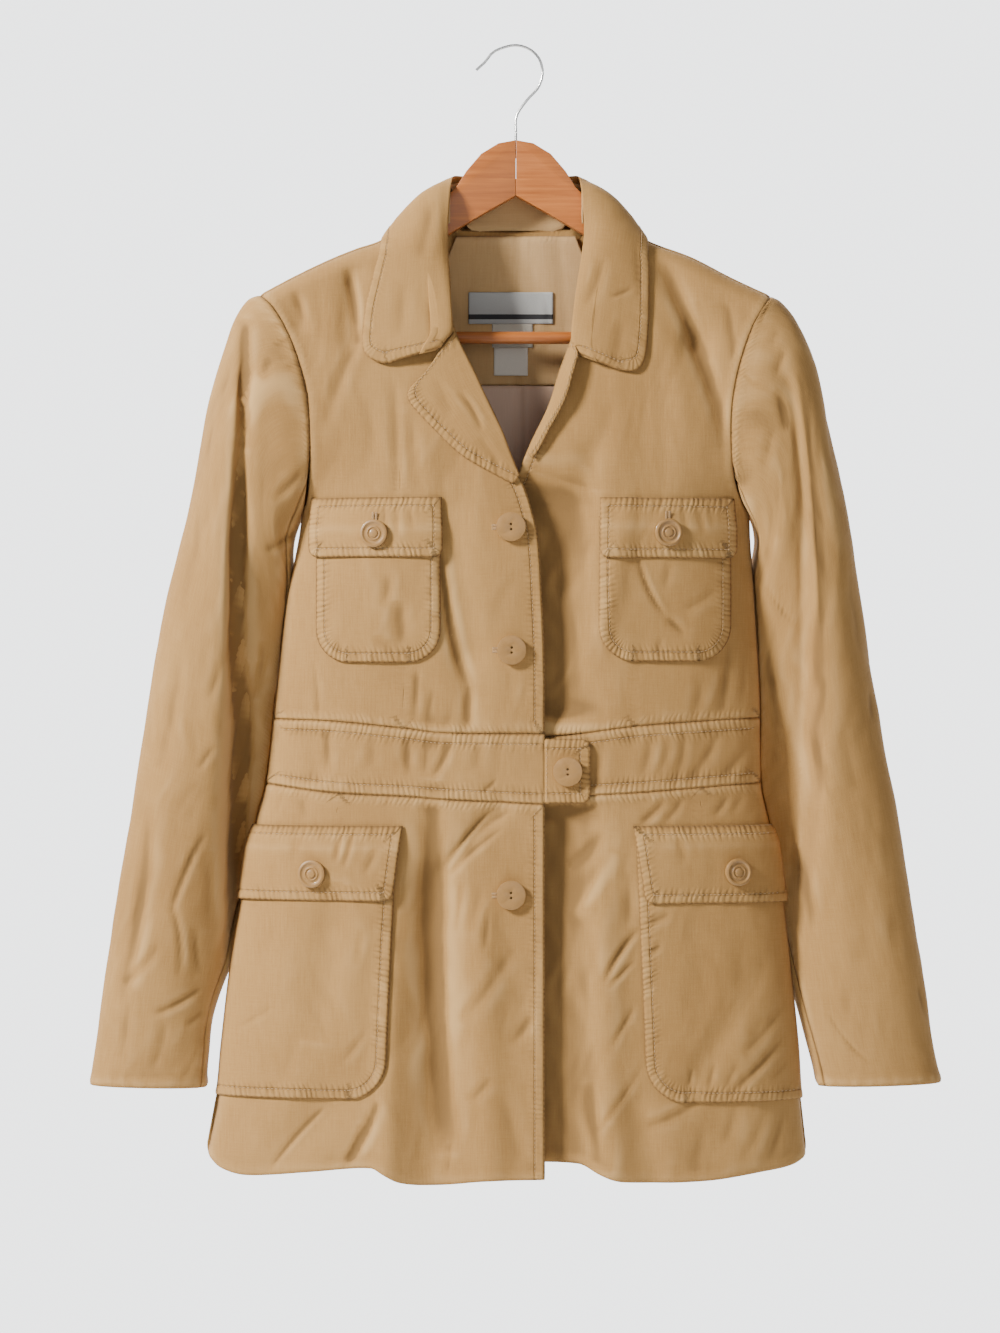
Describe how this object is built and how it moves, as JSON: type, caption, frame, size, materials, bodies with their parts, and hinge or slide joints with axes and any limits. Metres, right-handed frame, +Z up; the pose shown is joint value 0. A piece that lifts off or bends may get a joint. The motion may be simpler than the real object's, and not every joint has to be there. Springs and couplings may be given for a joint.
{
  "type": "utility jacket on a wooden hanger",
  "caption": "Belted cotton utility jacket with turned collar, patch pockets with flaps and plain buttons, hanging on a wooden hanger with a bar.",
  "frame": {"origin": "inside top of the hanger's hook, where it bears", "axes": "+Z up, the jacket's front faces -Y, +X to the viewer's right"},
  "size_m": [0.685, 0.0875, 0.9135],
  "materials": {
    "cotton": "washed khaki cotton twill, matt, a little creased",
    "lining": "smooth thin beige lining with a faint rosy tone",
    "label": "woven label cloth, bare",
    "button": "moulded tan buttons, satin",
    "wood": "orange-brown hardwood, clear varnish",
    "steel": "bent bright steel wire"
  },
  "bodies": {
    "root": {"front_bodice_left": "cotton", "front_bodice_right": "cotton", "front_waistband_left": "cotton", "front_waistband_right": "cotton", "front_skirt_left": "cotton", "front_skirt_right": "cotton", "back_bodice": "cotton", "back_waistband": "cotton", "back_skirt": "cotton", "top_sleeve_left": "cotton", "top_sleeve_right": "cotton", "under_sleeve_left": "cotton", "under_sleeve_right": "cotton", "collar_fall": "cotton", "collar_stand": "cotton", "lapel_left": "cotton", "lapel_right": "cotton", "back_neck_facing": "cotton", "chest_pocket_left": "cotton", "chest_pocket_right": "cotton", "chest_flap_left": "cotton", "chest_flap_right": "cotton", "hip_pocket_left": "cotton", "hip_pocket_right": "cotton", "hip_flap_left": "cotton", "hip_flap_right": "cotton", "waist_tab": "cotton", "back_lining": "lining", "main_label": "label", "size_label": "label", "care_label": "label", "front_button_top": "button", "front_button_middle": "button", "front_button_low": "button", "waist_tab_button": "button", "chest_button_left": "button", "chest_button_right": "button", "hip_button_left": "button", "hip_button_right": "button", "hanger_arm_left": "wood", "hanger_arm_right": "wood", "hanger_bar": "wood", "hanger_hook": "steel"}
  },
  "joints": []
}
